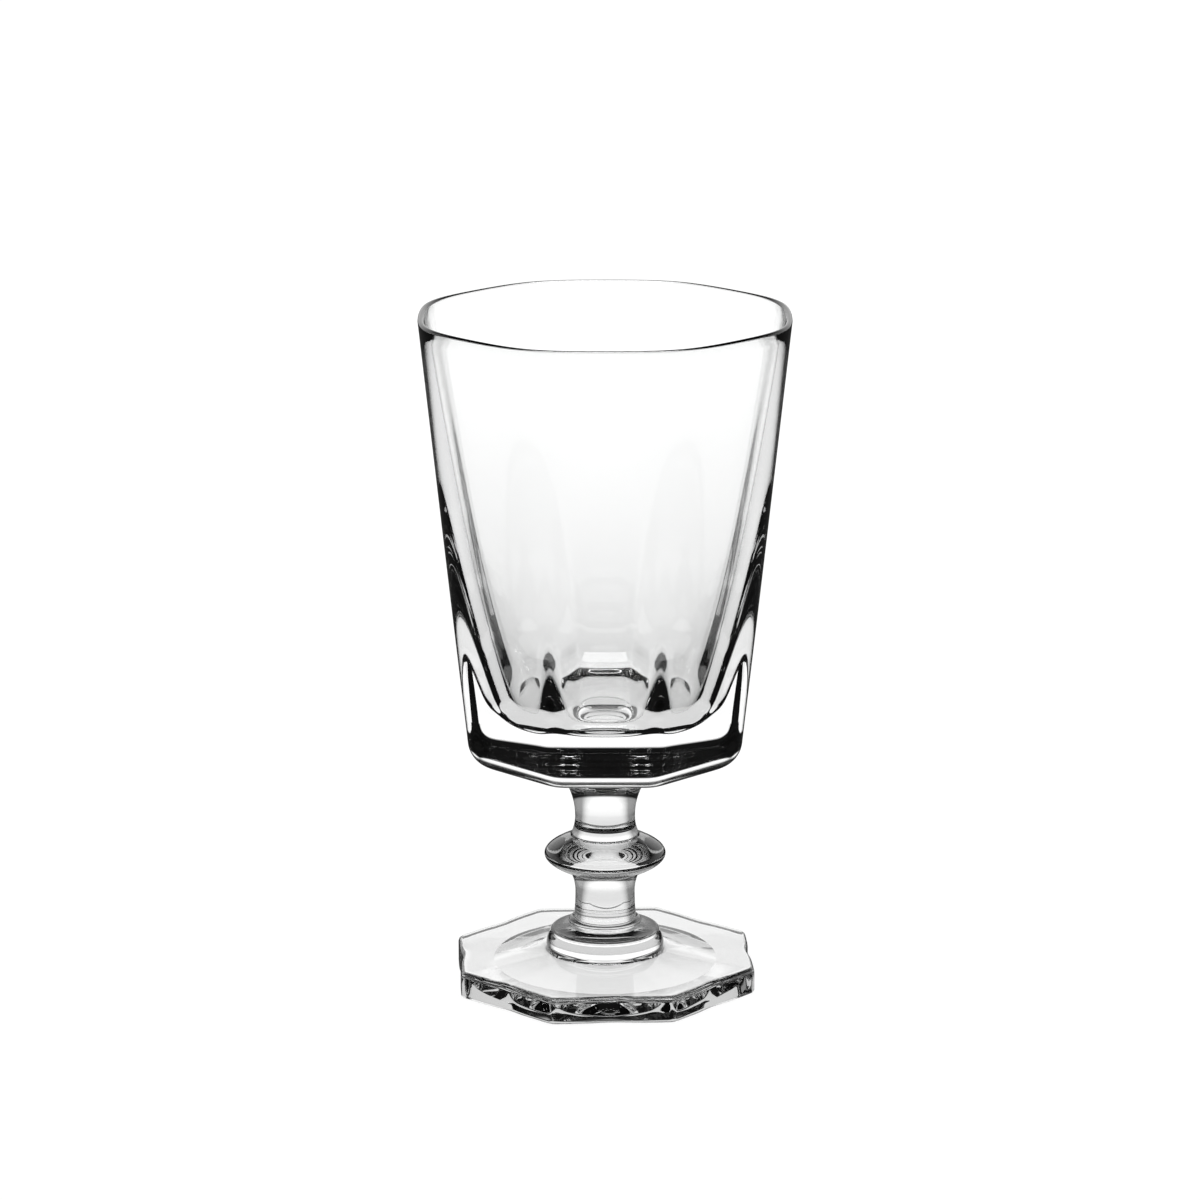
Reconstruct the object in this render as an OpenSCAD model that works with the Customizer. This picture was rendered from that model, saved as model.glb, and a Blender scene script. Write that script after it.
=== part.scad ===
// Water goblet of clear cut glass: an eight-panelled bowl with a heavy base, a stem
// with a knop at its middle, a dished collar and an eight-sided foot. The pieces are
// gathers of glass joined hot, so each one seats on a flat round face of the next.

/* [Bowl] */
// Height of the bowl from its underside to the rim
bowl_h = 105.7; // [80:0.1:140]
// Width of the rim across opposite panels
rim_w = 86.2; // [74:0.1:98]
// Width of the base across opposite panels, measured at the underside
base_w = 62.5; // [54:0.1:70]
// How far the corners between panels are polished back at the rim
rim_corner_cut = 2; // [0.5:0.1:3]
// How far the corners between panels are polished back at the base
base_corner_cut = 0.5; // [0.2:0.1:1.2]
// Radius around the lower edge of the panels
base_round = 8; // [4:0.1:11]
// Thickness of the wall at the rim
rim_wall = 1.1; // [0.8:0.05:2.4]
// Radius on each edge of the fire-polished rim
rim_round = 0.45; // [0.2:0.05:1.2]
// Thickness of solid glass under the cavity
base_t = 11.9; // [8:0.1:20]
// Width of the cavity across its flats at floor level
cavity_w = 36; // [32:0.1:44]
// How far the walls of the cavity bow outwards between its floor and the rim
cavity_bow = 4.6; // [2:0.1:5]
// Radius where the walls of the cavity turn into its floor
cavity_round = 8; // [4:0.1:12]

/* [Stem] */
// Height of the stem between the knop and the bowl
upper_stem_h = 19.1; // [14:0.1:26]
// Diameter of the upper waist
upper_waist_d = 14.3; // [11:0.1:17]
// Height of the upper waist above the knop
upper_waist_h = 5.3; // [3:0.1:8]
// Diameter of the upper stem where it meets the bowl
bowl_seat_d = 30; // [24:0.1:40]
// Height of the stem between the collar and the knop
lower_stem_h = 13.2; // [11:0.1:20]
// Diameter of the lower waist
lower_waist_d = 14.2; // [11:0.1:15]
// Height of the lower waist above the collar
lower_waist_h = 7.8; // [5:0.1:10]
// Diameter of the lower stem just above its bead
lower_end_d = 15.8; // [15.2:0.1:17]
// Diameter of the bead around the end of the lower stem
bead_d = 17.2; // [16.4:0.1:20]
// Height of the bead around the end of the lower stem
bead_h = 1; // [0.6:0.1:1.6]

/* [Knop] */
// Diameter of the knop
knop_d = 28.6; // [24:0.1:36]
// Height of the knop
knop_h = 9; // [7:0.1:12]
// Diameter of the flat faces that join the knop to the stem
knop_seat_d = 17.6; // [17:0.1:21]

/* [Collar] */
// Height of the collar
collar_h = 5.2; // [4:0.1:8]
// Diameter of the collar where it meets the foot
collar_d = 27.8; // [25:0.1:34]
// Diameter of the lip at the top of the collar
lip_d = 24; // [22:0.1:25]
// Width of the flat land on the lip
lip_land = 0.6; // [0.3:0.1:1]
// Depth of the dish inside the lip
dish_depth = 1.5; // [0.8:0.1:2.5]

/* [Foot] */
// Width of the foot across opposite sides
foot_w = 69; // [60:0.1:80]
// Thickness of the foot at its edge
foot_edge_h = 6; // [4:0.1:9]
// How far the top of the foot rises from its edge to the collar
foot_rise = 1.8; // [0.8:0.1:4]
// Radius along the upper edge of the foot
foot_round = 1.2; // [0.5:0.1:2]
// Depth of the hollow ground into each side of the foot
scallop_depth = 0.6; // [0.2:0.1:1]
// Diameter of the shallow hollow under the foot
hollow_d = 52; // [40:0.1:56]
// Depth of the shallow hollow under the foot
hollow_depth = 2.5; // [1:0.1:3.5]
// Angle by which the foot is turned against the bowl
foot_turn = 3; // [0:0.5:22.5]

/* [Hidden] */

$fn = 128;
glass = [0.93, 0.96, 0.97, 0.5];

// Eight sides stand around the axis, in four opposite pairs
sides = 8;
pairs = sides / 2;
side_angle = 360 / sides;
half_angle = side_angle / 2;

// Straight steps along a rounded edge, up the wall of the cavity and along half the knop
edge_steps = 6;
wall_steps = 8;
knop_steps = 10;
// Power by which the bow of the cavity's walls dies out towards the rim
bow_power = 1.5;
// Share of the rim's wall that one polished edge may take
rim_edge_share = 0.45;
// Share of a foot side that its hollow takes up
scallop_share = 0.92;
// Angle at which the upper edge of the foot runs out into its top
foot_edge_angle = 80;
// How far every cut runs past the face that it opens
overrun = 1;

// Heights of the joints, from the table up
foot_h = foot_edge_h + foot_rise;
lower_stem_z = foot_h + collar_h;
knop_z = lower_stem_z + lower_stem_h;
upper_stem_z = knop_z + knop_h;
bowl_z = upper_stem_z + upper_stem_h;

// Half widths over the flats and over the polished corners, inside and outside
cavity_h = bowl_h - base_t;
rim_edge = min(rim_round, rim_wall * rim_edge_share);
rim_corner = rim_w / 2 / cos(half_angle) - rim_corner_cut;
base_corner = base_w / 2 / cos(half_angle) - base_corner_cut;
cavity_corner = cavity_w / 2 / cos(half_angle) - base_corner_cut;

// Points of an arc round a centre, from one angle to another
function arc(centre, radius, from, to) =
    [for (i = [0 : edge_steps])
        let (angle = from + (to - from) * i / edge_steps)
        centre + radius * [cos(angle), sin(angle)]];

// Lean of a wall that stands at low and reaches high
function lean(low, high, height) = atan((high - low) / height);

// Centre at height z of a round that touches the leaning wall from inside
function round_centre(low, high, height, radius, z) =
    [low + (high - low) * z / height - radius / cos(lean(low, high, height)), z];

// Right half of a leaning wall with a rounded lower edge and a rounded rim
function wall_points(low, high) =
    let (tilt = lean(low, high, bowl_h))
    concat(
        arc(round_centre(low, high, bowl_h, base_round, base_round), base_round, -90, -tilt),
        arc(round_centre(low, high, bowl_h, rim_edge, bowl_h - rim_edge), rim_edge, -tilt, 90));

// Bow of the cavity's walls at a share of its height, 1 where it is fullest
function bow(share) =
    let (fullest_share = 1 / (1 + bow_power))
    share * pow(1 - share, bow_power) / (fullest_share * pow(1 - fullest_share, bow_power));

// Half width of the bowed cavity at a share of its height
function bowed(low, high, share) = low + (high - low) * share + cavity_bow * bow(share);

// Right half of the cavity, with a rounded floor and a mouth that opens over the rim
function cavity_points(low, high) =
    let (first = bowed(low, high, 1 / wall_steps), first_h = cavity_h / wall_steps)
    let (foot_tilt = lean(low, first, first_h))
    let (tilt = lean(low, high, cavity_h))
    let (mouth = round_centre(low, high, cavity_h, -rim_edge, cavity_h - rim_edge))
    concat(
        arc(round_centre(low, first, first_h, cavity_round, cavity_round), cavity_round, -90, -foot_tilt),
        [for (i = [1 : wall_steps - 1]) [bowed(low, high, i / wall_steps), i * first_h]],
        arc(mouth, rim_edge, 180 - tilt, 90),
        [[mouth.x, cavity_h + overrun]]);

// Whole outline from its right half
function both_sides(points) =
    concat(points, [for (i = [len(points) - 1 : -1 : 0]) [-points[i].x, points[i].y]]);

// Radius of the hollow curve from a waist to a wider end
function flare(waist_r, end_r, height) =
    (height * height + (end_r - waist_r) * (end_r - waist_r)) / (2 * (end_r - waist_r));

// Radius of a round surface that rises by depth inside a circle
function cap(circle_r, depth) = (circle_r * circle_r + depth * depth) / (2 * depth);

// Body whose four pairs of opposite sides share one outline
module panelled(points, reach, turn = 0) {
    intersection_for (i = [0 : pairs - 1])
        rotate([90, 0, turn + i * side_angle])
            linear_extrude(height = 2 * reach, center = true)
                polygon(both_sides(points));
}

// Half section of a stem that widens by a hollow curve above its waist
module flared_section(waist_r, end_r, height) {
    radius = flare(waist_r, end_r, height);
    difference() {
        square([waist_r + radius, height]);
        translate([waist_r + radius, 0]) circle(r = radius);
    }
}

// Bowl of eight leaning panels over a heavy base, hollowed with the same eight flats
module bowl() {
    color(glass) translate([0, 0, bowl_z])
        difference() {
            intersection() {
                panelled(wall_points(base_w / 2, rim_w / 2), rim_w);
                panelled(wall_points(base_corner, rim_corner), rim_w, half_angle);
            }
            translate([0, 0, base_t])
                intersection() {
                    panelled(cavity_points(cavity_w / 2, rim_w / 2 - rim_wall), rim_w);
                    panelled(cavity_points(cavity_corner, rim_corner - rim_wall), rim_w, half_angle);
                }
        }
}

// Stem that flares from its waist down to the knop and up to the bowl
module upper_stem() {
    waist_r = upper_waist_d / 2;
    radius = flare(waist_r, bowl_seat_d / 2, upper_stem_h - upper_waist_h);
    color(glass) translate([0, 0, upper_stem_z])
        rotate_extrude()
            difference() {
                square([waist_r + radius, upper_stem_h]);
                translate([waist_r + radius, upper_waist_h]) circle(r = radius);
            }
}

// Flattened ring at the middle of the stem
module knop() {
    seat_r = knop_seat_d / 2;
    bulge = knop_d / 2 - seat_r;
    belly = [for (i = [-knop_steps : knop_steps])
        let (angle = 90 * i / knop_steps)
        [seat_r + bulge * cos(angle), knop_h / 2 * sin(angle)]];
    color(glass) translate([0, 0, knop_z + knop_h / 2])
        rotate_extrude()
            polygon(concat([[0, -knop_h / 2]], belly, [[0, knop_h / 2]]));
}

// Stem that narrows from a beaded end to its waist and flares up to the knop
module lower_stem() {
    bead_r = bead_h / 2;
    color(glass) translate([0, 0, lower_stem_z])
        rotate_extrude()
            union() {
                translate([0, lower_waist_h])
                    flared_section(lower_waist_d / 2, knop_seat_d / 2, lower_stem_h - lower_waist_h);
                translate([0, lower_waist_h]) mirror([0, 1])
                    flared_section(lower_waist_d / 2, lower_end_d / 2, lower_waist_h);
                square([bead_d / 2 - bead_r, bead_h]);
                translate([bead_d / 2 - bead_r, bead_r]) circle(r = bead_r);
            }
}

// Collar with leaning sides, a narrow lip and a dish that rises to the stem's bead
module collar() {
    lip_h = collar_h - dish_depth;
    dish_x = lip_d / 2 - lip_land;
    dish_r = cap(dish_x - bead_d / 2, dish_depth);
    color(glass) translate([0, 0, foot_h])
        rotate_extrude()
            difference() {
                polygon([[0, 0], [collar_d / 2, 0], [lip_d / 2, lip_h], [lip_d / 2, collar_h], [0, collar_h]]);
                translate([dish_x, lip_h + dish_r]) circle(r = dish_r);
                translate([dish_x, lip_h]) square([lip_d, collar_h]);
            }
}

// Foot of eight hollowed sides, with a gently domed top and a shallow hollow below
module foot() {
    half = foot_w / 2;
    seat_r = collar_d / 2;
    dome_z = (foot_edge_h + foot_h) / 2 - (half * half - seat_r * seat_r) / (2 * foot_rise);
    dome_r = norm([seat_r, foot_h - dome_z]);
    hollow_r = cap(hollow_d / 2, hollow_depth);
    scallop_r = cap(half * tan(half_angle) * scallop_share, scallop_depth);
    edge = arc([half - foot_round, foot_edge_h - foot_round], foot_round, 0, foot_edge_angle);
    color(glass) rotate([0, 0, foot_turn])
        difference() {
            intersection() {
                panelled(concat([[half, 0]], edge, [[seat_r, foot_h + foot_rise]]), foot_w);
                translate([0, 0, dome_z]) sphere(r = dome_r);
                cylinder(r = foot_w, h = foot_h);
            }
            translate([0, 0, hollow_depth - hollow_r]) sphere(r = hollow_r);
            for (i = [0 : sides - 1])
                rotate([0, 0, i * side_angle])
                    translate([half - scallop_depth + scallop_r, 0, -overrun])
                        cylinder(r = scallop_r, h = foot_h + 2 * overrun);
        }
}

bowl();
upper_stem();
knop();
lower_stem();
collar();
foot();
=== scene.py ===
"""Looks of a short-stemmed water goblet in clear cut glass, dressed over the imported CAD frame.

Six separate pieces of glass stand for the six CAD nodes. The panels of the bowl and the foot come
from one Geometry Nodes tree, and the pieces of the stem are turned from arcs. The flat faces of
the hot joints are clear, so light runs from piece to piece as it does in the real goblet.
"""
import logging
import math
from abc import ABC, abstractmethod
from dataclasses import dataclass
from enum import Enum

import bpy
import numpy as np
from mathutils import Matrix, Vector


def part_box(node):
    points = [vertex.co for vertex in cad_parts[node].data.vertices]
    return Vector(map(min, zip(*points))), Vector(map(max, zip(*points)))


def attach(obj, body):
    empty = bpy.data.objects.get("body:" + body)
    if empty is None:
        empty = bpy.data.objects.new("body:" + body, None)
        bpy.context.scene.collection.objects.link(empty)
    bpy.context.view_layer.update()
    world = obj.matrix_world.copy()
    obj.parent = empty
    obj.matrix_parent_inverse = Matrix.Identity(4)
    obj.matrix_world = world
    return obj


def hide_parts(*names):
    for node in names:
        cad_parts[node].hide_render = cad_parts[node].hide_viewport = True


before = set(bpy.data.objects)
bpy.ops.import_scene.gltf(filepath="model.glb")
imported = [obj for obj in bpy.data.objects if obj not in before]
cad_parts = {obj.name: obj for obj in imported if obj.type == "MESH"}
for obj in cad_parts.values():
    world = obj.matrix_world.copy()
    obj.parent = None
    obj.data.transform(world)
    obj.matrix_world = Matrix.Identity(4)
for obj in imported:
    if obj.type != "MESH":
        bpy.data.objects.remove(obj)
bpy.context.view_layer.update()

MM = 0.001
KNOP_SEAT = 8.15 * MM
BEAD_SEAT = 8.47 * MM
AROUND = 320
BODY = "root"
WHITE = (1.0, 1.0, 1.0, 1.0)
JOINT_FACE = "joint_face"

log = logging.getLogger("goblet")

Point = tuple[float, float]
Corner = tuple[float, float, float]
Face = tuple[int, ...]
Socket = bpy.types.NodeSocket
Sockets = bpy.types.bpy_prop_collection
Inputs = dict[str | int, object]


class Joint(Enum):
    """Which end faces of a piece are hot joints with its neighbours."""

    LOWER = (True, False)
    UPPER = (False, True)
    BOTH = (True, True)


@dataclass(frozen=True)
class Ring:
    """One ring of points round the axis of the goblet.

    Args:
        radius: distance from the axis, on a flat where the ring has flats
        height: height above the table
        flat: 0 for a round ring, 1 for a ring of flats
        sharp: how sharp the corners between the flats are
        outer: weight of the painted dark outline, 0 in the cavity, 1 outside, more at the rim
        crease: whether the surface turns sharply at this ring
    """

    radius: float
    height: float
    flat: float = 0.0
    sharp: float = 20.0
    outer: float = 1.0
    crease: bool = False


def arc(centre: Point, radius: float, start: float, end: float, steps: int) -> list[Point]:
    """Points along an arc in the plane of radius and height.

    Args:
        centre: centre of the arc
        radius: radius of the arc
        start: first angle in degrees, 0 outwards and 90 up
        end: last angle in degrees
        steps: number of spans along the arc

    Returns:
        The points, both ends included.
    """
    angles = (math.radians(start + (end - start) * i / steps) for i in range(steps + 1))
    return [(centre[0] + radius * math.cos(a), centre[1] + radius * math.sin(a)) for a in angles]


def waist_arc(waist: Point, end: Point, steps: int) -> list[Point]:
    """Points along the arc that is upright at a waist and reaches a wider end.

    Args:
        waist: narrowest point
        end: wider point above or below it
        steps: number of spans along the arc

    Returns:
        The points from the waist to the end, both included.
    """
    out, rise = end[0] - waist[0], end[1] - waist[1]
    radius = (out * out + rise * rise) / (2 * out)
    sweep = math.degrees(math.asin(rise / radius))
    if out >= radius:
        sweep = 180 - sweep
    return arc((waist[0] + radius, waist[1]), radius, 180, 180 - sweep, steps)


def between(first: float, last: float, steps: int) -> list[float]:
    """Evenly spaced values from first to last, both included."""
    return [first + (last - first) * i / steps for i in range(steps + 1)]


def blend(first: float, last: float, share: float) -> float:
    """The value a share of the way from first to last."""
    return first + (last - first) * share


def blend_log(first: float, last: float, share: float) -> float:
    """The value a share of the way from first to last, in even ratios."""
    return first * (last / first) ** min(max(share, 0.0), 1.0)


def eased(share: float) -> float:
    """A share that starts and stops changing gently."""
    return share * share * (3 - 2 * share)


def ring_points(rings: list[Ring], ends: Point) -> np.ndarray:
    """Points of the rings, one ring after another, and then the two centre points.

    Args:
        rings: rings from the lower centre, round the outside, to the upper centre
        ends: heights of the lower and upper centre points

    Returns:
        One row for each point.
    """
    turn = np.arange(AROUND) * (2 * math.pi / AROUND)
    radius = np.array([r.radius for r in rings])[:, None]
    height = np.repeat(np.array([r.height for r in rings])[:, None], AROUND, axis=1)
    points = np.stack((radius * np.sin(turn), -radius * np.cos(turn), height), axis=-1)
    return np.vstack((points.reshape(-1, 3), (0, 0, ends[0]), (0, 0, ends[1])))


def skin_faces(count: int) -> list[list[int]]:
    """Faces over the points of rings: the walls, then the lower end, then the upper end.

    Args:
        count: number of rings

    Returns:
        The points of each face, in the order that faces outwards.
    """
    here = np.arange(AROUND)
    after = np.roll(here, -1)
    last = (count - 1) * AROUND
    low, high = count * AROUND, count * AROUND + 1
    faces: list[list[int]] = []
    for a in range(0, last, AROUND):
        b = a + AROUND
        faces += np.stack((a + here, a + after, b + after, b + here), axis=1).tolist()
    faces += np.stack((np.full(AROUND, low), after, here), axis=1).tolist()
    faces += np.stack((np.full(AROUND, high), last + here, last + after), axis=1).tolist()
    return faces


def creased_edges(mesh: bpy.types.Mesh, rings: list[Ring], joint: Joint) -> np.ndarray:
    """Finds the edges that run along a creased ring or round a hot joint.

    Args:
        mesh: mesh turned from the rings
        rings: rings of the mesh
        joint: which end faces are hot joints

    Returns:
        Whether each edge of the mesh is sharp.
    """
    edges = np.zeros(2 * len(mesh.edges), dtype=np.int32)
    mesh.edges.foreach_get("vertices", edges)
    ring_of = np.append(np.repeat(np.arange(len(rings)), AROUND), (-1, -2))[edges.reshape(-1, 2)]
    creased = np.array([r.crease for r in rings] + [False, False])
    creased[0] |= joint.value[0]
    creased[len(rings) - 1] |= joint.value[1]
    return (ring_of[:, 0] == ring_of[:, 1]) & creased[ring_of[:, 0]]


def store(mesh: bpy.types.Mesh, name: str, kind: str, domain: str, values: np.ndarray) -> None:
    """Keeps values on a mesh.

    Args:
        mesh: mesh that carries them
        name: name of the attribute
        kind: Blender's data type of the attribute
        domain: Blender's name for what each value belongs to
        values: one value for each point, edge or face
    """
    mesh.attributes.new(name, kind, domain).data.foreach_set("value", values)


def turned_mesh(name: str, rings: list[Ring], ends: Point, joint: Joint) -> bpy.types.Mesh:
    """Skins rings into one closed mesh that carries what the panel tree and the glass read.

    Args:
        name: name of the mesh
        rings: rings from the lower centre, round the outside, to the upper centre
        ends: heights of the lower and upper centre points
        joint: which end faces are hot joints

    Returns:
        The mesh, facing outwards.
    """
    faces = skin_faces(len(rings))
    mesh = bpy.data.meshes.new(name)
    mesh.from_pydata(ring_points(rings, ends).tolist(), [], faces)
    mesh.shade_smooth()
    for key in ("flat", "sharp", "outer"):
        by_ring = [getattr(r, key) for r in rings]
        values = np.append(np.repeat(by_ring, AROUND), (by_ring[0], by_ring[-1]))
        store(mesh, key, "FLOAT", "POINT", values.astype(np.float32))
    jointed = np.zeros(len(faces), dtype=bool)
    jointed[-2 * AROUND:-AROUND], jointed[-AROUND:] = joint.value
    store(mesh, JOINT_FACE, "BOOLEAN", "FACE", jointed)
    store(mesh, "sharp_edge", "BOOLEAN", "EDGE", creased_edges(mesh, rings, joint))
    mesh.update()
    return mesh


class Sums:
    """Writes nodes into a node tree, and sums as Math nodes."""

    def __init__(self, tree: bpy.types.NodeTree) -> None:
        """Keeps the tree that the nodes go into."""
        self.tree = tree

    def put(self, socket: Socket, value: object) -> None:
        """Links a socket into an input, or sets the input to a value.

        Args:
            socket: input of a node
            value: socket, number or colour
        """
        if isinstance(value, Socket):
            self.tree.links.new(value, socket)
        else:
            socket.default_value = value

    def fill(self, node: bpy.types.Node, inputs: Inputs) -> None:
        """Puts sockets and values into a node's inputs, by name or number."""
        for key, value in inputs.items():
            self.put(node.inputs[key], value)

    def node(self, kind: str, inputs: Inputs | None = None, **settings: object) -> Sockets:
        """Adds a node.

        Args:
            kind: Blender's name for the node
            inputs: sockets and values for its inputs
            settings: attributes of the node, set before its inputs

        Returns:
            The outputs of the node.
        """
        made = self.tree.nodes.new(kind)
        for key, value in settings.items():
            setattr(made, key, value)
        self.fill(made, inputs or {})
        return made.outputs

    def __call__(self, operation: str, *values: object) -> Socket:
        """Adds a Math node.

        Args:
            operation: Blender's name for the operation
            values: sockets or numbers

        Returns:
            The socket with the result.
        """
        return self.node("ShaderNodeMath", dict(enumerate(values)), operation=operation)[0]

    def ramp(self, value: Socket, span: Point, result: Point, smooth: bool = True) -> Socket:
        """Adds a Map Range node.

        Args:
            value: socket to read
            span: values at which the result starts and stops changing
            result: results at the two ends of the span
            smooth: whether the change eases in and out

        Returns:
            The socket with the result.
        """
        names = ("Value", "From Min", "From Max", "To Min", "To Max")
        inputs = dict(zip(names, (value, *span, *result)))
        kind = "SMOOTHSTEP" if smooth else "LINEAR"
        return self.node("ShaderNodeMapRange", inputs, interpolation_type=kind)["Result"]

    def choose(self, test: Socket, no: Socket, yes: Socket) -> Socket:
        """The first number where the test is 0, and the second where it is 1."""
        inputs = {"Factor": test, "A": no, "B": yes}
        return self.node("ShaderNodeMix", inputs, data_type="FLOAT")["Result"]

    def across(self, x: Socket, y: Socket) -> Socket:
        """Distance from the upright axis of a place at x and y."""
        return self("SQRT", self("ADD", self("MULTIPLY", x, x), self("MULTIPLY", y, y)))


class PanelTree:
    """Geometry Nodes tree that presses flats round a turned mesh."""

    NAME = "eight_panels"
    NUMBERS = {"Panels": 8.0, "Turn": 0.0, "Hollow": 0.0}
    MATERIALS = ("Glass", "Joint glass")
    HOLLOW_POWER = 8.0
    LEAST_RADIUS = 1e-6

    def __init__(self) -> None:
        """Builds the tree once."""
        self.tree = bpy.data.node_groups.new(self.NAME, "GeometryNodeTree")
        self.tree.is_modifier = True
        face = self.tree.interface
        face.new_socket("Geometry", in_out="INPUT", socket_type="NodeSocketGeometry")
        self.keys: dict[str, str] = {}
        for name, value in self.NUMBERS.items():
            socket = face.new_socket(name, in_out="INPUT", socket_type="NodeSocketFloat")
            socket.default_value = value
            self.keys[name] = socket.identifier
        for name in self.MATERIALS:
            socket = face.new_socket(name, in_out="INPUT", socket_type="NodeSocketMaterial")
            self.keys[name] = socket.identifier
        face.new_socket("Geometry", in_out="OUTPUT", socket_type="NodeSocketGeometry")
        self._wire()

    @staticmethod
    def _stored(sums: Sums, name: str, kind: str) -> Socket:
        """Reads an attribute that the turned mesh carries.

        Args:
            sums: writer for the tree
            name: name of the attribute
            kind: Blender's data type of the attribute

        Returns:
            The socket with its value.
        """
        reader = "GeometryNodeInputNamedAttribute"
        return sums.node(reader, {"Name": name}, data_type=kind)["Attribute"]

    def _swell(self, sums: Sums, given: Sockets, x: Socket, y: Socket) -> Socket:
        """Works out how a ring grows from a circle to flats with soft corners and hollowed sides.

        Args:
            sums: writer for the tree
            given: inputs of the tree
            x: place across
            y: place along

        Returns:
            The socket with the factor by which a point moves out.
        """
        flat, sharp = (self._stored(sums, key, "FLOAT") for key in ("flat", "sharp"))
        around = sums("SUBTRACT", sums("ARCTAN2", x, sums("MULTIPLY", y, -1.0)), given["Turn"])
        step = sums("DIVIDE", 2 * math.pi, given["Panels"])
        half = sums("DIVIDE", step, 2.0)
        off = sums("WRAP", around, half, sums("MULTIPLY", half, -1.0))
        terms = []
        for side in (0.0, 1.0, -1.0):
            facing = sums("COSINE", sums("MULTIPLY_ADD", step, side, off))
            terms.append(sums("POWER", facing, sharp))
        total = sums("ADD", sums("ADD", terms[0], terms[1]), terms[2])
        crown = sums("MULTIPLY_ADD", sums("POWER", sums("COSINE", step), sharp), 2.0, 1.0)
        octagon = sums("POWER", sums("DIVIDE", crown, total), sums("DIVIDE", 1.0, sharp))
        swell = sums("MULTIPLY_ADD", sums("SUBTRACT", octagon, 1.0), flat, 1.0)
        turns = sums("MULTIPLY", off, sums("DIVIDE", given["Panels"], 2.0))
        wave = sums("POWER", sums("ABSOLUTE", sums("COSINE", turns)), self.HOLLOW_POWER)
        dip = sums("MULTIPLY", sums("MULTIPLY", wave, given["Hollow"]), flat)
        out = sums("MAXIMUM", sums.across(x, y), self.LEAST_RADIUS)
        return sums("SUBTRACT", swell, sums("DIVIDE", dip, out))

    def _wire(self) -> None:
        """Adds the nodes: each point moves out, and each face gets its glass."""
        sums = Sums(self.tree)
        given = sums.node("NodeGroupInput")
        here = sums.node("GeometryNodeInputPosition")[0]
        x, y, z = sums.node("ShaderNodeSeparateXYZ", {0: here})
        swell = self._swell(sums, given, x, y)
        out = {"X": sums("MULTIPLY", x, swell), "Y": sums("MULTIPLY", y, swell), "Z": z}
        moved = sums.node("ShaderNodeCombineXYZ", out)[0]
        jointed = self._stored(sums, JOINT_FACE, "BOOLEAN")
        steps: tuple[tuple[str, Inputs], ...] = (
            ("GeometryNodeSetPosition", {"Position": moved}),
            ("GeometryNodeRealizeInstances", {}),
            ("GeometryNodeSetMaterial", {"Material": given["Glass"]}),
            ("GeometryNodeSetMaterial", {"Selection": jointed, "Material": given["Joint glass"]}),
        )
        shape = given["Geometry"]
        for kind, inputs in steps:
            shape = sums.node(kind, {"Geometry": shape, **inputs})["Geometry"]
        sums.node("NodeGroupOutput", {"Geometry": shape})

    def press(self, piece: bpy.types.Object, values: dict[str, object]) -> None:
        """Runs the tree on a piece and keeps the result as its plain mesh.

        Args:
            piece: object with a turned mesh
            values: numbers and materials for the tree's named inputs
        """
        modifier = piece.modifiers.new(self.NAME, "NODES")
        modifier.node_group = self.tree
        for name, value in values.items():
            modifier[self.keys[name]] = value
        done = piece.evaluated_get(bpy.context.evaluated_depsgraph_get())
        mesh = bpy.data.meshes.new_from_object(done)
        piece.modifiers.clear()
        piece.data = mesh


class PolishGroup:
    """Shader node group with the faint ripple and haze of hand-worked glass, for all the glass."""

    NAME = "hand_polish"
    NUMBERS = {"Ripple size": 60.0, "Cord stretch": 1.0, "Haze": 0.004}
    RESULTS = {"Ripple": "Float", "Roughness": "Float", "Colour": "Color"}
    WAVE_DETAIL = 1.0
    SPECKS_PER_WAVE = 9.0
    SPECK_DETAIL = 3.0
    SPECK_HEIGHT = 0.06
    SPECK_SPAN = (0.35, 0.8)
    HAZE_SPAN = (0.2, 1.6)
    TINT = (0.985, 0.99, 0.988, 1.0)

    def __init__(self) -> None:
        """Builds the group once."""
        self.tree = bpy.data.node_groups.new(self.NAME, "ShaderNodeTree")
        face = self.tree.interface
        for name, value in self.NUMBERS.items():
            socket = face.new_socket(name, in_out="INPUT", socket_type="NodeSocketFloat")
            socket.default_value = value
        for name, kind in self.RESULTS.items():
            face.new_socket(name, in_out="OUTPUT", socket_type="NodeSocket" + kind)
        self._wire()

    def _wire(self) -> None:
        """Adds the nodes: drawn-out waves, fine specks on them, and the haze and tint they give."""
        sums = Sums(self.tree)
        given = sums.node("NodeGroupInput")
        place = sums.node("ShaderNodeTexCoord")["Object"]
        stretch = {"X": 1.0, "Y": 1.0, "Z": given["Cord stretch"]}
        stretched = {0: place, 1: sums.node("ShaderNodeCombineXYZ", stretch)[0]}
        drawn = sums.node("ShaderNodeVectorMath", stretched, operation="MULTIPLY")[0]
        waves = self._noise(sums, drawn, given["Ripple size"], self.WAVE_DETAIL)
        fine = sums("MULTIPLY", given["Ripple size"], self.SPECKS_PER_WAVE)
        specks = self._noise(sums, place, fine, self.SPECK_DETAIL)
        patchy = sums.ramp(specks, self.SPECK_SPAN, self.HAZE_SPAN)
        tints = {"Factor": waves, "A": self.TINT, "B": WHITE}
        results = {
            "Ripple": sums("MULTIPLY_ADD", specks, self.SPECK_HEIGHT, waves),
            "Roughness": sums("MULTIPLY", patchy, given["Haze"]),
            "Colour": sums.node("ShaderNodeMix", tints, data_type="RGBA")["Result"],
        }
        sums.node("NodeGroupOutput", results)

    @staticmethod
    def _noise(sums: Sums, place: Socket, scale: Socket, detail: float) -> Socket:
        """Adds a Noise Texture node.

        Args:
            sums: writer for the tree
            place: coordinates to read
            scale: socket for its scale
            detail: octaves of finer noise

        Returns:
            The socket with the noise.
        """
        inputs = {"Vector": place, "Scale": scale, "Detail": detail}
        return sums.node("ShaderNodeTexNoise", inputs)["Fac"]


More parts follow.
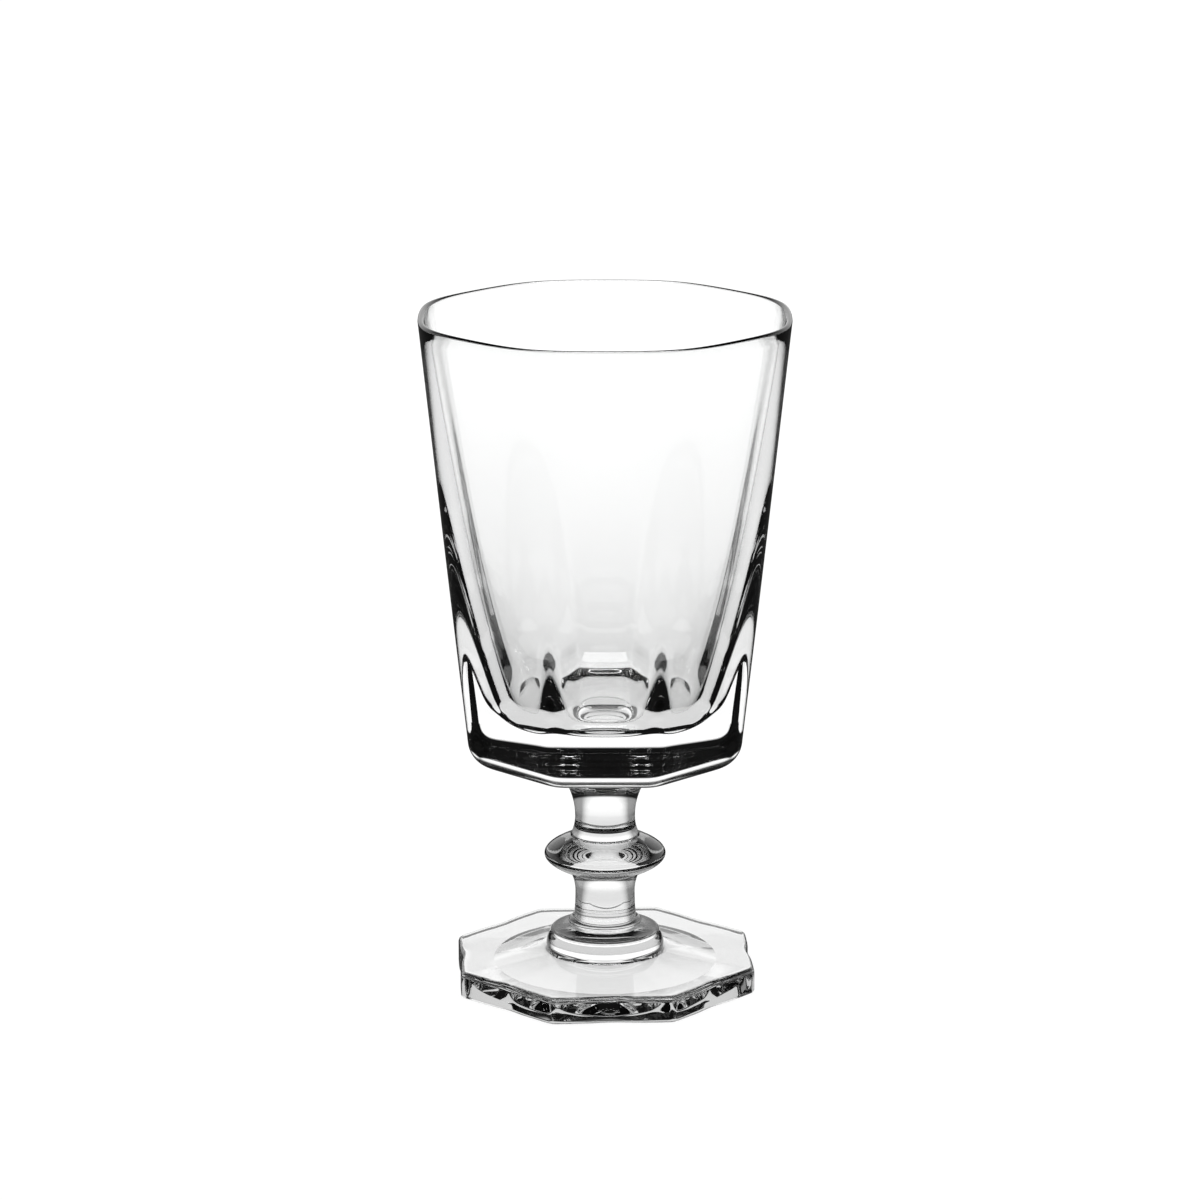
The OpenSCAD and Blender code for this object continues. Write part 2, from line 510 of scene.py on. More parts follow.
@dataclass(frozen=True)
class GlassFinish:
    """Clear glass with a hand-worked surface.

    Args:
        name: name of the material
        ripple_size: waves per metre of the ripple
        ripple_depth: height of the ripple
        cord_stretch: below 1, the ripple is drawn out upwards into cords
        haze: roughness of the polish
        edge: how far a face turns away, from 0 to 1, where the painted shade at its edge starts and
            is full
        painted_edge_dark: how bright the painted shade at the darkest edge is
        outline: how much sooner the painted shade darkens outer edges seen directly, not through
            glass
        bounce_shade: how often light is thrown back inside the glass before painted shade starts
            darkening it and it is black
        mirror: share of the mirrored light that its surface keeps
        index: refractive index
    """

    name: str
    ripple_size: float
    ripple_depth: float
    cord_stretch: float
    haze: float
    edge: Point
    painted_edge_dark: float = 0.02
    outline: float = 0.0
    bounce_shade: Point = (4.0, 12.0)
    mirror: float = 1.0
    index: float = 1.54

    def material(self, polish: PolishGroup) -> bpy.types.Material:
        """Builds the material.

        Args:
            polish: node group with the ripple and haze

        Returns:
            The material.
        """
        made = bpy.data.materials.new(self.name)
        made.use_nodes = True
        sums = Sums(made.node_tree)
        polishing = {
            "Ripple size": self.ripple_size,
            "Cord stretch": self.cord_stretch,
            "Haze": self.haze,
        }
        worked = sums.node("ShaderNodeGroup", polishing, node_tree=polish.tree)
        ripple = {"Distance": self.ripple_depth, "Height": worked["Ripple"]}
        # The base colour is scaled by painted shade: dark edges, and darkening of light thrown back
        # inside.
        tint = {0: worked["Colour"], "Scale": self._painted_shade(sums)}
        inputs = {
            "Base Color": sums.node("ShaderNodeVectorMath", tint, operation="SCALE")["Vector"],
            "Roughness": worked["Roughness"],
            "IOR": self.index,
            "Normal": sums.node("ShaderNodeBump", ripple)["Normal"],
            "Specular Tint": (self.mirror, self.mirror, self.mirror, 1.0),
            "Transmission Weight": 1.0,
        }
        sums.fill(made.node_tree.nodes["Principled BSDF"], inputs)
        return made

    def _painted_shade(self, sums: Sums) -> Socket:
        """Works out the painted shade in the glass's colour: dark at its edges and for light thrown
        back inside.

        Args:
            sums: writer for the material

        Returns:
            The socket with the share of the colour left under the painted shade.
        """
        path = sums.node("ShaderNodeLightPath")
        facing = sums.node("ShaderNodeLayerWeight")["Facing"]
        outer = sums.node("ShaderNodeAttribute", attribute_name="outer")["Fac"]
        seen = sums("MULTIPLY", path["Is Camera Ray"], outer)
        # Painted shade: the colour goes dark as a face turns away, sooner on outer edges seen
        # directly.
        turned = sums("MULTIPLY_ADD", seen, self.outline, facing)
        clear = sums.ramp(turned, self.edge, (1.0, self.painted_edge_dark))
        # Painted shade: light thrown back inside the glass more often gets a darker colour.
        return sums("MULTIPLY", clear, sums.ramp(path["Glossy Depth"], self.bounce_shade, (1.0, 0.0)))


@dataclass(frozen=True)
class JointFinish:
    """The inside of a hot joint, where two pieces are one glass and nothing shows."""

    name: str = "fused_joint"

    def material(self) -> bpy.types.Material:
        """Builds the clear material."""
        made = bpy.data.materials.new(self.name)
        made.use_nodes = True
        shader = made.node_tree.nodes["Principled BSDF"]
        Sums(made.node_tree).fill(shader, {"Base Color": WHITE, "Alpha": 0.0})
        return made


@dataclass(frozen=True)
class StageFinish:
    """White paper to the camera, and to the glass a studio that draws its edges.

    The glass sees a white table, darkened around the goblet as painted shade, a low white surround
    and a dark ceiling. Light thrown back inside the glass and the table mirrored on its outside are
    darkened as painted shade too. Distances are from the goblet's axis, and each pair is where a
    change starts and ends.

    Args:
        name: name of the material
        shadow: share of its white that takes the goblet's shadow
        shadow_span: distances over which its own white makes up for that share
        under: brightness of the table under the foot
        near_shade: brightness of the table around the goblet, darkened as painted shade
        middle: brightness of the table a hand's length off
        far: brightness of the table further off and of the surround
        under_span: distances between the table under the foot and around the goblet
        near_span: distances between the table around the goblet and a hand's length off
        far_span: distances between the table a hand's length off and further off
        ceiling: degrees above the table at which the surround goes dark
        dark: brightness of the ceiling
        bounces: how often light is thrown back inside the glass before the stage is darkened to it
            as painted shade
        close_kept: share of the table's brightness close to the goblet that such light keeps from
            that shade
        close_span: distances over which that share goes
        mirrored: degrees at which the surround goes dark that the outside of the glass mirrors
        mirrored_table_shade: brightness of the table that the outside of the glass mirrors,
            darkened as painted shade
        skirting: height over which that table changes to the surround
    """

    name: str
    shadow: float
    shadow_span: Point = (0.2, 0.6)
    under: float = 0.95
    near_shade: float = 0.78
    middle: float = 0.98
    far: float = 1.18
    under_span: Point = (0.03, 0.06)
    near_span: Point = (0.09, 0.2)
    far_span: Point = (0.2, 0.65)
    ceiling: Point = (11.0, 17.0)
    dark: float = 0.004
    bounces: Point = (1.0, 3.0)
    close_kept: float = 0.75
    close_span: Point = (0.08, 0.115)
    mirrored: Point = (22.0, 40.0)
    mirrored_table_shade: float = 0.05
    skirting: float = 0.05

    @staticmethod
    def _wall(sums: Sums, slope: Socket, degrees: Point) -> Socket:
        """1 where the stage is white, and 0 above the angles between which it goes dark."""
        low, top = (math.tan(math.radians(angle)) for angle in degrees)
        return sums.ramp(slope, (low, top), (1.0, 0.0))

    def _outside(self, sums: Sums, slope: Socket, high: Socket) -> Socket:
        """Brightness mirrored on the glass at a slope and a height, the table darkened as painted
        shade.
        """
        # Painted shade: the table that the outside of the glass mirrors is dim.
        table = sums.ramp(high, (0.0, self.skirting), (self.mirrored_table_shade, 1.0))
        return sums("MULTIPLY", self._wall(sums, slope, self.mirrored), table)

    def _through(self, sums: Sums, slope: Socket, away: Socket, bounces: Socket) -> Socket:
        """Works out what is seen through the glass, with the table around the goblet in painted
        shade.

        Args:
            sums: writer for the material
            slope: height of the place on the stage, as a share of its distance
            away: distance of the place
            bounces: how often the light was thrown back inside the glass

        Returns:
            The socket with the brightness.
        """
        # Painted shade: the table is darker around the goblet than further off.
        table = sums.ramp(away, self.near_span, (self.near_shade, self.middle), smooth=False)
        further = sums.ramp(away, self.far_span, (0.0, self.far - self.middle), smooth=False)
        below = sums.ramp(away, self.under_span, (self.under - self.near_shade, 0.0))
        table = sums("ADD", sums("ADD", table, further), below)
        white = sums("MULTIPLY", table, self._wall(sums, slope, self.ceiling))
        # Painted shade: light thrown back inside the glass sees the stage dark, except close to the
        # goblet.
        fresh = sums.ramp(bounces, self.bounces, (1.0, 0.0))
        close = sums.ramp(away, self.close_span, (self.close_kept, 0.0))
        seen = sums("MULTIPLY", white, sums("MAXIMUM", fresh, close))
        return sums("MAXIMUM", seen, self.dark)

    def material(self) -> bpy.types.Material:
        """Builds the material.

        Returns:
            The material.
        """
        made = bpy.data.materials.new(self.name)
        made.use_nodes = True
        made.node_tree.nodes.clear()
        sums = Sums(made.node_tree)
        path = sums.node("ShaderNodeLightPath")
        place = sums.node("ShaderNodeTexCoord")["Object"]
        x, y, high = sums.node("ShaderNodeSeparateXYZ", {0: place})
        away = sums.across(x, y)
        slope = sums("DIVIDE", high, away)
        outside = self._outside(sums, slope, high)
        through = self._through(sums, slope, away, path["Glossy Depth"])
        in_glass = sums.choose(path["Is Transmission Ray"], outside, through)
        plain = sums.ramp(away, self.shadow_span, (1.0 - self.shadow / 2, 1.0))
        strength = sums.choose(path["Is Camera Ray"], in_glass, plain)
        glow = sums.node("ShaderNodeEmission", {"Strength": strength})[0]
        shaded = sums("MULTIPLY", path["Is Camera Ray"], self.shadow)
        paper = sums.node("ShaderNodeBsdfDiffuse", {"Color": shaded})[0]
        both = sums.node("ShaderNodeAddShader", {0: glow, 1: paper})[0]
        sums.node("ShaderNodeOutputMaterial", {"Surface": both})
        return made


@dataclass(frozen=True)
class Workshop:
    """What the pieces are dressed with.

    Args:
        glass: finished glass by the name of its finish
        joint: clear finish of the hot joints
        panels: tree that presses the flats
    """

    glass: dict[str, bpy.types.Material]
    joint: bpy.types.Material
    panels: PanelTree


@dataclass
class GlassPiece(ABC):
    """A piece of the goblet that stands for one CAD node.

    Args:
        node: name of the CAD node
        slot: name of the piece's glass finish, unless finish is given
        finish: name of the glass finish, if it isn't named as the slot is
    """

    node: str
    slot: str
    finish: str = ""

    def __post_init__(self) -> None:
        """Takes the heights and the half width of the piece from its CAD node."""
        low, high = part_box(self.node)
        self.low, self.high, self.reach = low.z, high.z, high.x

    @abstractmethod
    def outline(self) -> list[Ring]:
        """Rings of the piece from the lower centre to the upper centre."""

    def ends(self) -> Point:
        """Heights of the centre points of the lower and upper end."""
        return self.low, self.high

    def joint(self) -> Joint:
        """Which ends are hot joints."""
        return Joint.BOTH

    def build(self) -> bpy.types.Object:
        """Turns the outline into an object.

        Returns:
            The object, in the scene.
        """
        mesh = turned_mesh(self.node + "_glass", self.outline(), self.ends(), self.joint())
        piece = bpy.data.objects.new(self.node + "_glass", mesh)
        bpy.context.scene.collection.objects.link(piece)
        return piece

    def dress(self, piece: bpy.types.Object, shop: Workshop) -> None:
        """Gives a turned piece its glass, and its joint faces the clear finish.

        Args:
            piece: object from build
            shop: finishes and panel tree
        """
        mesh = piece.data
        mesh.materials.append(shop.glass[self.finish or self.slot])
        mesh.materials.append(shop.joint)
        jointed = np.zeros(len(mesh.polygons), dtype=bool)
        mesh.attributes[JOINT_FACE].data.foreach_get("value", jointed)
        mesh.polygons.foreach_set("material_index", jointed.astype(np.int32))

    def place(self, piece: bpy.types.Object) -> None:
        """Drops what only the shaping reads, hangs the piece under its body and hides its CAD node.

        Args:
            piece: object from build, dressed
        """
        kept = piece.data.attributes
        for key in ("flat", "sharp", JOINT_FACE):
            kept.remove(kept[key])
        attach(piece, BODY)
        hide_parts(self.node)
        tall = (self.high - self.low) / MM
        log.info("%s: %d faces, %.1f mm high", piece.name, len(piece.data.polygons), tall)


@dataclass
class PanelledPiece(GlassPiece):
    """A piece with eight flats round it.

    Args:
        turn: degrees that the flats are set round from the front
        hollow: depth to which each side is hollowed
    """

    turn: float = 0.0
    hollow: float = 0.0

    def dress(self, piece: bpy.types.Object, shop: Workshop) -> None:
        """Presses the flats round the piece, and gives its faces their glass.

        Args:
            piece: object from build
            shop: finishes and panel tree
        """
        values = {
            "Turn": math.radians(self.turn),
            "Hollow": self.hollow,
            "Glass": shop.glass[self.finish or self.slot],
            "Joint glass": shop.joint,
        }
        shop.panels.press(piece, values)


@dataclass
class Bowl(PanelledPiece):
    """Eight leaning panels, thin at the rim and heavy at the base, with an eight-flat cavity.

    Args:
        seat_radius: radius of the flat seat on the stem
        base_half: half width across the panels, taken down to the level of the seat
        base_round: how far in the round under the panels reaches
        base_rise: how far up the round under the panels reaches
        rim_wall: thickness of the wall at the rim
        rim_round: height of the rounded rim
        rim_outline_shade: how strong the painted dark outline at the rim is
        floor_thick: glass under the middle of the cavity
        floor_half: half width of the cavity, taken down to the level of its floor
        wall_bow: how far the inner walls bow out
        bow_power: how low the fullest part of the bow is
        round_rise: how far up the round of the floor reaches
        round_power: how square the round of the floor is
        rim_sharp: sharpness of the corners at the rim
        base_sharp: sharpness of the outer corners at the base
        floor_sharp: sharpness of the cavity's corners at its floor
        floor_flat: how flat-sided the cavity is at its floor
        flat_rise: height over the floor at which the cavity is fully flat-sided
        floor_gap: angle of the floor's round that is left to the last fan of faces
    """

    node: str = "bowl"
    slot: str = "bowl_glass"
    seat_radius: float = 15.0 * MM
    base_half: float = 31.25 * MM
    base_round: float = 6.2 * MM
    base_rise: float = 6.4 * MM
    rim_wall: float = 1.4 * MM
    rim_round: float = 0.7 * MM
    rim_outline_shade: float = 2.2
    floor_thick: float = 10.6 * MM
    floor_half: float = 17.8 * MM
    wall_bow: float = 3.85 * MM
    bow_power: float = 1.3
    round_rise: float = 8.4 * MM
    round_power: float = 3.65
    rim_sharp: float = 12.5
    base_sharp: float = 42.0
    floor_sharp: float = 15.5
    floor_flat: float = 0.78
    flat_rise: float = 14.4 * MM
    floor_gap: float = 0.002

    def __post_init__(self) -> None:
        """Works out the levels of the floor and the rim's round, and the lean of the panels."""
        super().__post_init__()
        self.floor = self.low + self.floor_thick
        self.shoulder = self.high - self.rim_round
        self.lean = (self.reach - self.base_half) / (self.high - self.low)

    def joint(self) -> Joint:
        """Only the seat is a joint."""
        return Joint.LOWER

    def ends(self) -> Point:
        """The seat, and the floor of the cavity."""
        return self.low, self.floor

    def _outer_sharp(self, height: float) -> float:
        """Sharpness of the outer corners at a height."""
        share = (height - self.low) / (self.high - self.low)
        return blend_log(self.base_sharp, self.rim_sharp, share)

    def _inner_sharp(self, height: float) -> float:
        """Sharpness of the cavity's corners at a height."""
        share = (height - self.floor) / (self.high - self.floor)
        return blend_log(self.floor_sharp, self.rim_sharp, share)

    def _inner_flat(self, height: float) -> float:
        """How flat-sided the cavity is at a height: its floor is rounder than its walls."""
        share = min((height - self.floor) / self.flat_rise, 1.0)
        return blend(self.floor_flat, 1.0, eased(share))

    def _base(self) -> list[Ring]:
        """Makes the underside from the seat, and the round under the panels.

        Returns:
            The rings, outwards and then up.
        """
        inset = self.base_half - self.base_round
        rings = [Ring(self.seat_radius, self.low)]
        for radius in between(self.seat_radius, inset, steps=6)[1:-1]:
            share = (radius - self.seat_radius) / (inset - self.seat_radius)
            rings.append(Ring(radius, self.low, share, self.base_sharp))
        for angle in between(math.pi / 2, 0, steps=18):
            rise = self.base_rise * (1 - math.sin(angle))
            radius = self.base_half + self.lean * rise - self.base_round * (1 - math.cos(angle))
            rings.append(Ring(radius, self.low + rise, 1.0, self.base_sharp))
        return rings

    def _panels(self) -> list[Ring]:
        """Makes the outer panels over the base's round, and the rounded rim.

        Returns:
            The rings, up and over to the inside of the rim.
        """
        rings = []
        for height in between(self.low + self.base_rise, self.shoulder, steps=40)[1:]:
            radius = self.base_half + self.lean * (height - self.low)
            rings.append(Ring(radius, height, 1.0, self._outer_sharp(height)))
        half_wall = self.rim_wall / 2
        middle = rings[-1].radius - half_wall
        for angle in between(0, math.pi, steps=10)[1:-1]:
            radius = middle + half_wall * math.cos(angle)
            height = self.shoulder + self.rim_round * math.sin(angle)
            rings.append(Ring(radius, height, 1.0, self.rim_sharp, self.rim_outline_shade))
        return rings

    def _bowed(self, share: float) -> float:
        """Works out the half width of the cavity before its floor is rounded.

        Args:
            share: share of the cavity's height

        Returns:
            The half width there.
        """
        fullest = 1 / (1 + self.bow_power)
        most = fullest * (1 - fullest) ** self.bow_power
        bow = share * (1 - share) ** self.bow_power / most
        mouth = self.reach - self.lean * self.rim_round - self.rim_wall
        return blend(self.floor_half, mouth, share) + self.wall_bow * bow

    def _cavity(self) -> list[Ring]:
        """Makes the bowed inner walls, and the rounded floor that they run into.

        Returns:
            The rings, down from the rim and in to the middle of the floor.
        """
        deep, power = self.shoulder - self.floor, 2 / self.round_power
        points = [
            (self._bowed(share), self.floor + deep * share)
            for share in between(1, self.round_rise / deep, steps=44)
        ]
        for angle in between(0, math.pi / 2 - self.floor_gap, steps=40)[1:]:
            rise = self.round_rise * (1 - math.sin(angle) ** power)
            points.append((self._bowed(rise / deep) * math.cos(angle) ** power, self.floor + rise))
        return [Ring(r, h, self._inner_flat(h), self._inner_sharp(h), 0.0) for r, h in points]

    def outline(self) -> list[Ring]:
        """Rings from the seat, up the outside, over the rim and down the cavity."""
        return self._base() + self._panels() + self._cavity()


@dataclass
class UpperStem(GlassPiece):
    """Solid waisted stem that flares out under the bowl.

    Args:
        waist_radius: radius of the waist
        waist_rise: height of the waist over the knop
        foot_radius: radius of the seat on the knop, the same as the knop's
    """

    node: str = "upper_stem"
    slot: str = "stem_glass"
    waist_radius: float = 7.05 * MM
    waist_rise: float = 4.6 * MM
    foot_radius: float = KNOP_SEAT

    def outline(self) -> list[Ring]:
        """Makes the rings from the knop's seat through the waist to the bowl's seat.

        Returns:
            The rings.
        """
        waist = (self.waist_radius, self.low + self.waist_rise)
        lower = waist_arc(waist, (self.foot_radius, self.low), steps=12)
        upper = waist_arc(waist, (self.reach, self.high), steps=26)
        return [Ring(r, h) for r, h in lower[::-1] + upper[1:]]


@dataclass
class Knop(GlassPiece):
    """Flattened solid ring at the middle of the stem.

    Args:
        seat_radius: radius of both seats
        widest_share: share of the knop's height at which it is widest
        upper_lean: how lean the upper half is, where 0.5 is a full ellipse
        lower_lean: how lean the lower half is, where 0.5 is a full ellipse
    """

    node: str = "knop"
    slot: str = "stem_glass"
    seat_radius: float = KNOP_SEAT
    widest_share: float = 0.5
    upper_lean: float = 1.2
    lower_lean: float = 1.2

    def outline(self) -> list[Ring]:
        """Makes the rings of the belly between its two seats.

        Returns:
            The rings.
        """
        belly = self.reach - self.seat_radius
        widest = blend(self.low, self.high, self.widest_share)
        rings = []
        for angle in between(-math.pi / 2, math.pi / 2, steps=48):
            end, lean = self.high, self.upper_lean
            if angle < 0:
                end, lean = self.low, self.lower_lean
            radius = self.seat_radius + belly * max(math.cos(angle), 0.0) ** (2 * lean)
            rings.append(Ring(radius, widest + abs(math.sin(angle)) * (end - widest)))
        return rings


@dataclass
class LowerStem(GlassPiece):
    """Solid waisted stem with the bead where it was set on the collar.

    Args:
        bead_radius: radius of the bead where it is widest
        bead_rise: height of the bead
        bead_span: degrees at which the round of the bead starts and ends
        neck_radius: radius just above the bead
        waist_radius: radius of the waist
        waist_rise: height of the waist over the collar
        head_radius: radius of the seat under the knop, the same as the knop's
        foot_radius: radius of the seat on the collar, the same as the collar's
    """

    node: str = "lower_stem"
    slot: str = "stem_glass"
    bead_radius: float = 8.65 * MM
    bead_rise: float = 1.8 * MM
    bead_span: Point = (-30.0, 60.0)
    neck_radius: float = 7.35 * MM
    waist_radius: float = 7.0 * MM
    waist_rise: float = 8.3 * MM
    head_radius: float = KNOP_SEAT
    foot_radius: float = BEAD_SEAT

    def outline(self) -> list[Ring]:
        """Makes the rings from the bead through the waist to the knop's seat.

        Returns:
            The rings.
        """
        thick = self.bead_rise / 2
        seat = (self.foot_radius, self.low)
        bead = arc((self.bead_radius - thick, self.low + thick), thick, *self.bead_span, steps=8)
        waist = (self.waist_radius, self.low + self.waist_rise)
        lower = waist_arc(waist, (self.neck_radius, self.low + self.bead_rise), steps=14)
        upper = waist_arc(waist, (self.head_radius, self.high), steps=16)
        return [Ring(r, h) for r, h in [seat] + bead + lower[::-1] + upper[1:]]


@dataclass
class Collar(GlassPiece):
    """Short cone with a narrow lip and a dished top.

    Args:
        lip_radius: radius of the lip
        lip_round: radius of the lip's rounded edge
        lip_span: degrees at which the round of the lip starts and ends
        dish_depth: how far the lip stands below the stem's seat
        dish_power: how late the dish rises to the stem
        bulge: how far the side of the cone swells
        seat_radius: radius of the stem's seat
    """

    node: str = "collar"
    slot: str = "stem_glass"
    finish: str = "collar_glass"
    lip_radius: float = 12.85 * MM
    lip_round: float = 0.8 * MM
    lip_span: Point = (15.0, 100.0)
    dish_depth: float = 0.6 * MM
    dish_power: float = 2.2
    bulge: float = 0.35 * MM
    seat_radius: float = BEAD_SEAT

    def outline(self) -> list[Ring]:
        """Makes the rings up the cone, over the lip and across the dish to the stem's seat.

        Returns:
            The rings.
        """
        top = self.high - self.dish_depth - self.lip_round
        points = []
        for share in between(0, 1, steps=10):
            swell = self.bulge * math.sin(math.pi * share)
            radius = blend(self.reach, self.lip_radius, share) + swell
            points.append((radius, blend(self.low, top, share)))
        lip = (self.lip_radius - self.lip_round, top)
        points += arc(lip, self.lip_round, *self.lip_span, steps=8)
        edge = points[-1]
        for share in between(0, 1, steps=14)[1:]:
            height = blend(edge[1], self.high, share ** self.dish_power)
            points.append((blend(edge[0], self.seat_radius, share), height))
        return [Ring(r, h) for r, h in points]


@dataclass
class Foot(PanelledPiece):
    """Eight-sided foot with hollowed sides, a domed top and a shallow hollow under it.

    Args:
        half: half width across the sides
        corner_sharp: sharpness of the corners
        edge_high: height of the sides
        top_round: radius of the upper edge
        top_sweep: degrees of the upper edge's round
        low_round: radius of the lower edge
        seat_radius: radius of the collar's seat
        seat_land: width of the slope round the collar's seat
        seat_step: height of the slope round the collar's seat
        dome_power: how late the dome rises to the seat
        under_radius: radius of the hollow ground into the underside
        under_depth: depth of the hollow ground into the underside
        under_start: share of the hollow's radius that is left to its last fan of faces
        ring_inset: how far inside the sides the flat ring under the foot is fully eight-sided
    """

    node: str = "foot"
    slot: str = "foot_glass"
    turn: float = 3.0
    hollow: float = 0.5 * MM
    half: float = 34.5 * MM
    corner_sharp: float = 120.0
    edge_high: float = 6.0 * MM
    top_round: float = 1.2 * MM
    top_sweep: float = 84.0
    low_round: float = 0.5 * MM
    seat_radius: float = 13.9 * MM
    seat_land: float = 0.4 * MM
    seat_step: float = 0.1 * MM
    dome_power: float = 1.5
    under_radius: float = 26.0 * MM
    under_depth: float = 2.5 * MM
    under_start: float = 0.04
    ring_inset: float = 2.0 * MM

    def joint(self) -> Joint:
        """Only the top is a joint."""
        return Joint.UPPER

    def ends(self) -> Point:
        """The top of the ground hollow, and the collar's seat."""
        return self.low + self.under_depth, self.high

    def _underside(self) -> list[Ring]:
        """Makes the ground hollow and the flat ring that the goblet stands on.

        Returns:
            The rings, outwards.
        """
        rings = []
        for share in between(self.under_start, 1, steps=24):
            height = self.low + self.under_depth * (1 - share * share)
            rings.append(Ring(self.under_radius * share, height, crease=share == 1.0))
        for share in between(0, 1, steps=3)[1:-1]:
            radius = blend(self.under_radius, self.half - self.ring_inset, share)
            rings.append(Ring(radius, self.low, share, self.corner_sharp))
        return rings

    def _sides(self) -> list[Ring]:
        """Makes the upright sides between their rounded edges.

        Returns:
            The rings, up.
        """
        low = (self.half - self.low_round, self.low + self.low_round)
        top = (self.half - self.top_round, self.low + self.edge_high - self.top_round)
        points = arc(low, self.low_round, -90, 0, steps=6)
        points += arc(top, self.top_round, 0, self.top_sweep, steps=8)
        return [Ring(r, h, 1.0, self.corner_sharp) for r, h in points]

    def _dome(self, edge: Ring) -> list[Ring]:
        """Makes the gentle dome from the edge to the collar's seat.

        Args:
            edge: last ring of the sides

        Returns:
            The rings, inwards.
        """
        inner, top = self.seat_radius + self.seat_land, self.high - self.seat_step
        rings = []
        for share in between(0, 1, steps=18)[1:]:
            left = edge.radius * (1 - share)
            radius = left + inner * share
            height = blend(edge.height, top, share ** self.dome_power)
            rings.append(Ring(radius, height, left / radius, self.corner_sharp))
        return rings + [Ring(self.seat_radius, self.high)]

    def outline(self) -> list[Ring]:
        """Rings from the ground hollow, round the edge and up the dome."""
        sides = self._sides()
        return self._underside() + sides + self._dome(sides[-1])


@dataclass(frozen=True)
class Studio:
    """Round table inside a round surround, with a soft lamp overhead.

    Args:
        reach: radius of the table and the surround
        height: height of the surround
        sides: number of sides that both have
        drop: how far the table lies below the foot
        shadow: share of the table's white that takes the goblet's shadow
        lamp_size: width of the lamp
        lamp_power: power of the lamp in watts
        lamp_height: height of the lamp
    """

    reach: float = 3.0
    height: float = 3.0
    sides: int = 96
    drop: float = 0.2 * MM
    shadow: float = 0.1
    lamp_size: float = 1.2
    lamp_power: float = 24.0
    lamp_height: float = 1.8

    @staticmethod
    def _surface(name: str, points: list[Corner], faces: list[Face], finish: StageFinish) -> None:
        """Adds a stage object.

        Args:
            name: name of the object
            points: corners
            faces: faces by corner
            finish: finish of its faces
        """
        mesh = bpy.data.meshes.new(name)
        mesh.from_pydata(points, [], faces)
        mesh.shade_smooth()
        mesh.materials.append(finish.material())
        made = bpy.data.objects.new(name, mesh)
        bpy.context.scene.collection.objects.link(made)

    def _stage(self) -> None:
        """Adds the table, and the surround with its closed top."""
        steps = range(self.sides)
        turns = [2 * math.pi * i / self.sides for i in steps]
        circle = [(math.sin(turn) * self.reach, math.cos(turn) * self.reach) for turn in turns]
        low = [(x, y, -self.drop) for x, y in circle]
        high = [(x, y, self.height) for x, y in circle]
        top = tuple(self.sides + i for i in steps)
        after = [(i + 1) % self.sides for i in steps]
        walls = [(i, j, top[j], top[i]) for i, j in zip(steps, after)]
        table, around = StageFinish("white_table", self.shadow), StageFinish("white_surround", 0.0)
        self._surface("table_top", low, [tuple(steps)[::-1]], table)
        self._surface("surround", low + high, walls + [top], around)

    def _lamp(self) -> None:
        """Adds the soft lamp overhead, which isn't seen through the glass."""
        lamp = bpy.data.lights.new("soft_box", "AREA")
        lamp.size, lamp.energy = self.lamp_size, self.lamp_power
        held = bpy.data.objects.new("soft_box", lamp)
        held.location = (0.0, 0.0, self.lamp_height)
        held.visible_transmission = False
        bpy.context.scene.collection.objects.link(held)

    def build(self) -> None:
        """Adds the stage, the lamp and a world without light of its own."""
        self._stage()
        self._lamp()
        world = bpy.data.worlds.new("studio")
        world.use_nodes = True
        sky = world.node_tree.nodes["Background"].inputs
        sky["Color"].default_value = WHITE
        sky["Strength"].default_value = 0.0
        bpy.context.scene.world = world


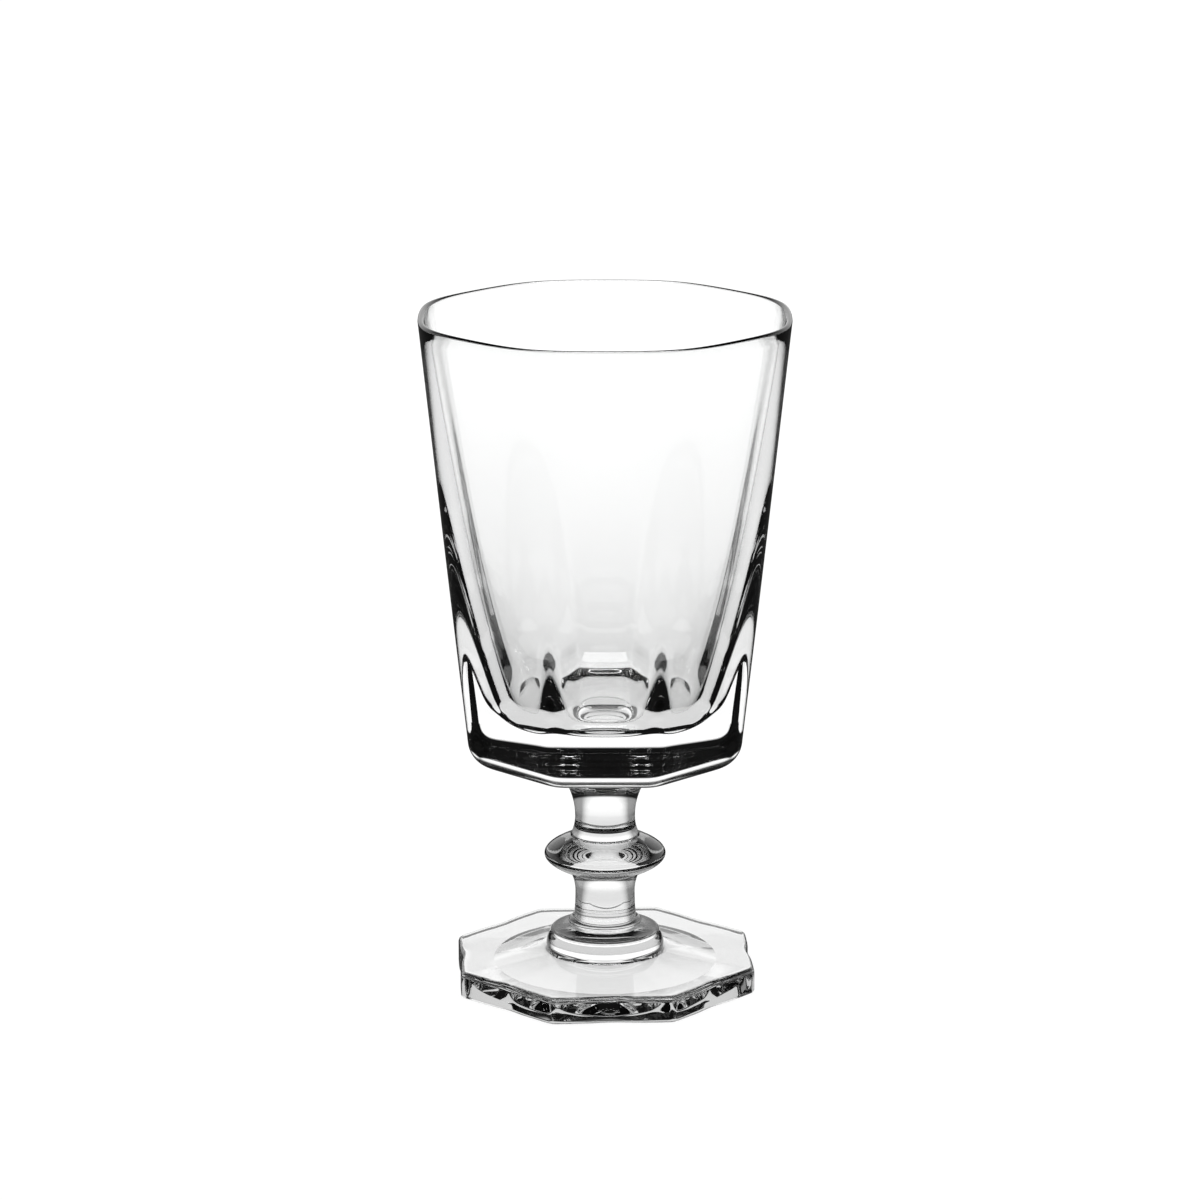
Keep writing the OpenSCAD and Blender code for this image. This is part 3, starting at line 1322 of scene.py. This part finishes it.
@dataclass(frozen=True)
class ViewPoint:
    """Camera at the photograph's viewing angle.

    Args:
        distance: distance in front of the goblet
        height: height above the table
        pitch: degrees that it looks down
        focal_share: focal length as a share of the frame's width
        offset: framing offset as a share of the frame's width
        sensor: width of the sensor in millimetres
    """

    distance: float = 1.1054
    height: float = 0.3787
    pitch: float = 14.53
    focal_share: float = 4.084
    offset: float = -0.0042
    sensor: float = 36.0

    def build(self) -> None:
        """Adds the camera and makes it the scene's."""
        lens = bpy.data.cameras.new("view")
        lens.sensor_width = self.sensor
        lens.lens = self.sensor * self.focal_share
        lens.shift_x = self.offset
        held = bpy.data.objects.new("view", lens)
        held.location = (0.0, -self.distance, self.height)
        held.rotation_euler = (math.radians(90.0 - self.pitch), 0.0, 0.0)
        bpy.context.scene.collection.objects.link(held)
        bpy.context.scene.camera = held


# Each glass finish paints shade into its colour: dark edges, and darkening of light thrown back
# inside.
FINISHES = (
    GlassFinish(
        name="bowl_glass",
        ripple_size=45.0,
        ripple_depth=0.006 * MM,
        cord_stretch=0.6,
        haze=0.004,
        edge=(0.77, 0.96),
        painted_edge_dark=0.004,
        outline=0.19,
    ),
    GlassFinish(
        name="stem_glass",
        ripple_size=90.0,
        ripple_depth=0.003 * MM,
        cord_stretch=0.3,
        haze=0.002,
        edge=(0.2, 0.45),
        painted_edge_dark=0.1,
        bounce_shade=(0.9, 2.0),
        mirror=0.6,
    ),
    GlassFinish(
        name="collar_glass",
        ripple_size=70.0,
        ripple_depth=0.003 * MM,
        cord_stretch=1.0,
        haze=0.003,
        edge=(0.4, 0.66),
        painted_edge_dark=0.004,
        mirror=0.25,
    ),
    GlassFinish(
        name="foot_glass",
        ripple_size=70.0,
        ripple_depth=0.006 * MM,
        cord_stretch=1.0,
        haze=0.008,
        edge=(0.8, 1.0),
    ),
)


def set_light_paths() -> None:
    """Lets light pass the many walls of solid glass, and keeps colours as written."""
    scene = bpy.context.scene
    scene.view_settings.view_transform = "Standard"
    scene.cycles.max_bounces = 24
    scene.cycles.transmission_bounces = 24
    scene.cycles.glossy_bounces = 12
    scene.cycles.transparent_max_bounces = 32


def main() -> None:
    """Builds the goblet, the studio and the camera."""
    logging.basicConfig(level=logging.INFO, format="%(name)s %(message)s")
    polish = PolishGroup()
    glass = {finish.name: finish.material(polish) for finish in FINISHES}
    shop = Workshop(glass, JointFinish().material(), PanelTree())
    for part in (Bowl(), UpperStem(), Knop(), LowerStem(), Collar(), Foot()):
        piece = part.build()
        part.dress(piece, shop)
        part.place(piece)
    Studio().build()
    ViewPoint().build()
    set_light_paths()


if __name__ == "__main__":
    main()
